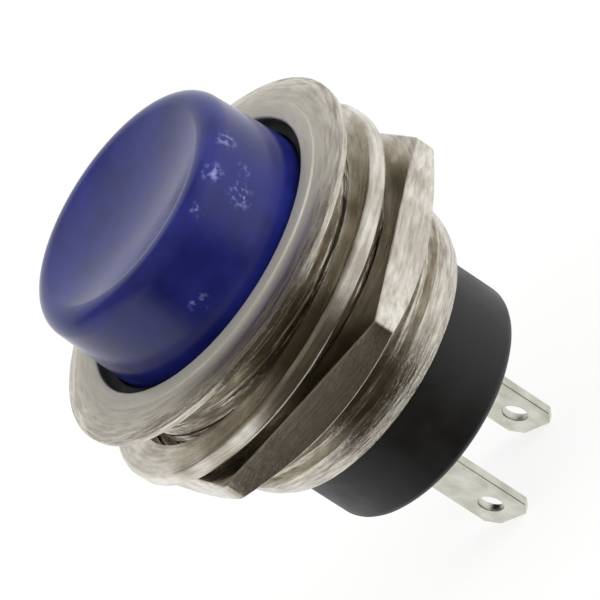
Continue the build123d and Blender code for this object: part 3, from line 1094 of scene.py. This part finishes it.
def floor_white():
    """A matt grey that glows only where the camera, a mirror or clear plastic sees it."""
    material = bpy.data.materials.new("pale_floor")
    material.use_nodes = True
    tree = material.node_tree
    tree.nodes.clear()
    path = add(tree, "ShaderNodeLightPath").outputs
    seen = add(
        tree, "ShaderNodeMath", {0: path["Is Camera Ray"], 1: path["Is Glossy Ray"]}, operation="ADD"
    ).outputs[0]
    seen = add(
        tree, "ShaderNodeMath", {0: seen, 1: path["Is Transmission Ray"]}, operation="ADD", use_clamp=True
    ).outputs[0]
    strength = add(tree, "ShaderNodeMath", {0: seen, 1: floor_glow}, operation="MULTIPLY").outputs[0]
    glow = add(tree, "ShaderNodeEmission", {"Color": colour("#FFFFFF"), "Strength": strength}).outputs[0]
    matt = add(tree, "ShaderNodeBsdfDiffuse", {"Color": colour("#8C8C8A")}).outputs[0]
    both = add(tree, "ShaderNodeAddShader", {0: glow, 1: matt}).outputs[0]
    add(tree, "ShaderNodeOutputMaterial", {"Surface": both})
    return material


def slab(name, half, height, material):
    """A flat square that faces up."""
    mesh = bpy.data.meshes.new(name)
    square = [(-half, -half, height), (half, -half, height), (half, half, height), (-half, half, height)]
    mesh.from_pydata([Vector(p) * MM for p in square], [], [(0, 1, 2, 3)])
    piece = bpy.data.objects.new(name, mesh)
    bpy.context.scene.collection.objects.link(piece)
    mesh.materials.append(material)
    return piece


floor = slab("floor", 3000, floor_height, floor_white())
floor.visible_glossy = False
print("floor at", round(floor_height, 2), "mm")

# %% [markdown]
# ## The camera
# A long lens from a quarter of a metre keeps the circles of such a small object true. The
# camera looks from above the cap's side and is rolled, so that the cap points up and to
# the left. Its three directions are worked out from angles, because they also place the
# lamps.
# %% Camera
camera_distance = 250


def camera_frame(azimuth, elevation, roll):
    """Right, up and back directions of a camera at these angles, in degrees."""
    az, el, turn = (math.radians(v) for v in (azimuth, elevation, roll))
    back = Vector((math.sin(az) * math.cos(el), -math.cos(az) * math.cos(el), math.sin(el)))
    level_up = (Vector((0, 0, 1)) - back * back.z).normalized()
    level_side = level_up.cross(back)
    up = math.cos(turn) * level_up + math.sin(turn) * level_side
    return up.cross(back), up, back


right, up, back = camera_frame(azimuth=-35.0, elevation=25.537, roll=56.778)
eye = bpy.data.cameras.new("camera")
eye.lens, eye.sensor_width = 317.07, 36.0
eye.clip_start, eye.clip_end = 0.01, 10.0
camera = bpy.data.objects.new("camera", eye)
bpy.context.scene.collection.objects.link(camera)
target = Vector((-0.603, -2.378, -4.001)) * MM
facing = Matrix((right, up, back)).transposed().to_4x4()
camera.matrix_world = Matrix.Translation(target + back * camera_distance * MM) @ facing
bpy.context.scene.camera = camera
print("camera at, mm:", [round(v / MM, 1) for v in camera.location])

# %% [markdown]
# ## The room that the metal mirrors
# Shiny metal shows its surroundings. Small metal goods are often lit inside a white tent,
# and the dark room shows through the opening where the camera stands, so the faces that
# look towards the camera turn dark and the others stay bright. That contrast is what gives
# nickel its shape. Dark cards round the switch would do the same, but would also shade it,
# so the opening is drawn in the world: white to the camera, and dark only in reflections.
# Its middle and its width are fixed directions in the room.
# %% World: a white dome with a dark opening, which only reflections see


def white_tent(centre, side):
    """A world whose reflections darken inside an upright opening round one direction."""
    world = bpy.data.worlds.new("white_tent")
    world.use_nodes = True
    sky = world.node_tree
    sky.nodes.clear()
    towards = add(sky, "ShaderNodeTexCoord").outputs["Generated"]
    near = add(sky, "ShaderNodeVectorMath", {0: towards, 1: centre}, operation="DOT_PRODUCT").outputs[1]
    across = add(sky, "ShaderNodeVectorMath", {0: towards, 1: side}, operation="DOT_PRODUCT").outputs[1]
    height = add(sky, "ShaderNodeSeparateXYZ", {0: towards}).outputs[2]

    # The opening is 1 inside, and fades at its back, its left and its right
    opening = 1.0
    for value, low, high, first, last in (
        (near, -0.3, -0.1, 0.0, 1.0),
        (across, -0.7, -0.15, 0.0, 1.0),
        (across, 0.6, 0.9, 1.0, 0.0),
    ):
        wall = add(
            sky,
            "ShaderNodeMapRange",
            {"Value": value, "From Min": low, "From Max": high, "To Min": first, "To Max": last},
            interpolation_type="SMOOTHSTEP",
        ).outputs[0]
        opening = add(sky, "ShaderNodeMath", {0: wall, 1: opening}, operation="MULTIPLY").outputs[0]

    # The room is lighter towards its ceiling, and the tent's cloth a little greyer
    room_share = add(
        sky,
        "ShaderNodeMapRange",
        {"Value": height, "From Min": -0.5, "From Max": 0.7},
        interpolation_type="SMOOTHSTEP",
    ).outputs[0]
    cloth_share = add(
        sky,
        "ShaderNodeMapRange",
        {"Value": height, "From Min": 0.0, "From Max": 0.6},
        interpolation_type="SMOOTHSTEP",
    ).outputs[0]
    room = add(
        sky,
        "ShaderNodeMix",
        {"Factor": room_share, 6: colour("#4A443A"), 7: colour("#7C766A")},
        data_type="RGBA",
    ).outputs[2]
    cloth = add(
        sky,
        "ShaderNodeMix",
        {"Factor": cloth_share, 6: colour("#FFFFFF"), 7: colour("#DCDCDC")},
        data_type="RGBA",
    ).outputs[2]
    mirrored = add(
        sky, "ShaderNodeMix", {"Factor": opening, 6: cloth, 7: room}, data_type="RGBA"
    ).outputs[2]

    # The camera and clear plastic see plain white; other light is a little dimmer
    path = add(sky, "ShaderNodeLightPath").outputs
    seen = add(
        sky, "ShaderNodeMath", {0: path["Is Camera Ray"], 1: path["Is Transmission Ray"]}, operation="ADD"
    ).outputs[0]
    white = add(
        sky,
        "ShaderNodeMix",
        {"Factor": seen, 6: colour("#CBCBCB"), 7: colour("#FFFFFF")},
        data_type="RGBA",
    ).outputs[2]
    shown = add(
        sky, "ShaderNodeMix", {"Factor": path["Is Glossy Ray"], 6: white, 7: mirrored}, data_type="RGBA"
    ).outputs[2]
    dome = add(sky, "ShaderNodeBackground", {"Color": shown, "Strength": 1.0}).outputs[0]
    add(sky, "ShaderNodeOutputWorld", {"Surface": dome})
    return world


def heading(bearing, elevation):
    """A direction from two angles in degrees: round from +X, and up."""
    turn, lift = math.radians(bearing), math.radians(elevation)
    return Vector((math.cos(turn) * math.cos(lift), math.sin(turn) * math.cos(lift), math.sin(lift)))


bpy.context.scene.world = white_tent(heading(220, 25), heading(145, 0))
print("made", bpy.context.scene.world.name)

# %% [markdown]
# ## The lamps
# Two large square lamps give soft light: a key from the upper right and a weaker fill from
# the left. Sun lamps would cut harder shadows. Each is as wide as a window next to the
# switch, and neither shows in the metal, where the tent is seen instead.
# %% Lamps


def soft_lamp(name, direction, distance, size, power):
    """A square area lamp that looks at the switch from a direction."""
    data = bpy.data.lights.new(name, "AREA")
    data.size, data.energy = size * MM, power
    lamp = bpy.data.objects.new(name, data)
    bpy.context.scene.collection.objects.link(lamp)
    lamp.location = Vector(direction).normalized() * distance * MM
    lamp.rotation_euler = lamp.location.to_track_quat("Z", "Y").to_euler()
    lamp.visible_glossy = False
    return lamp


key_side = up * 0.9 + right * 0.5 + back * 0.7
fill_side = back * 0.6 + up * 0.2 - right * 0.9
key = soft_lamp("key_lamp", key_side, distance=320, size=200, power=0.5)
fill = soft_lamp("fill_lamp", fill_side, distance=320, size=220, power=0.12)
bpy.context.scene.view_settings.view_transform = "Standard"
print("lamps of", key.data.energy, "and", round(fill.data.energy, 2), "W")
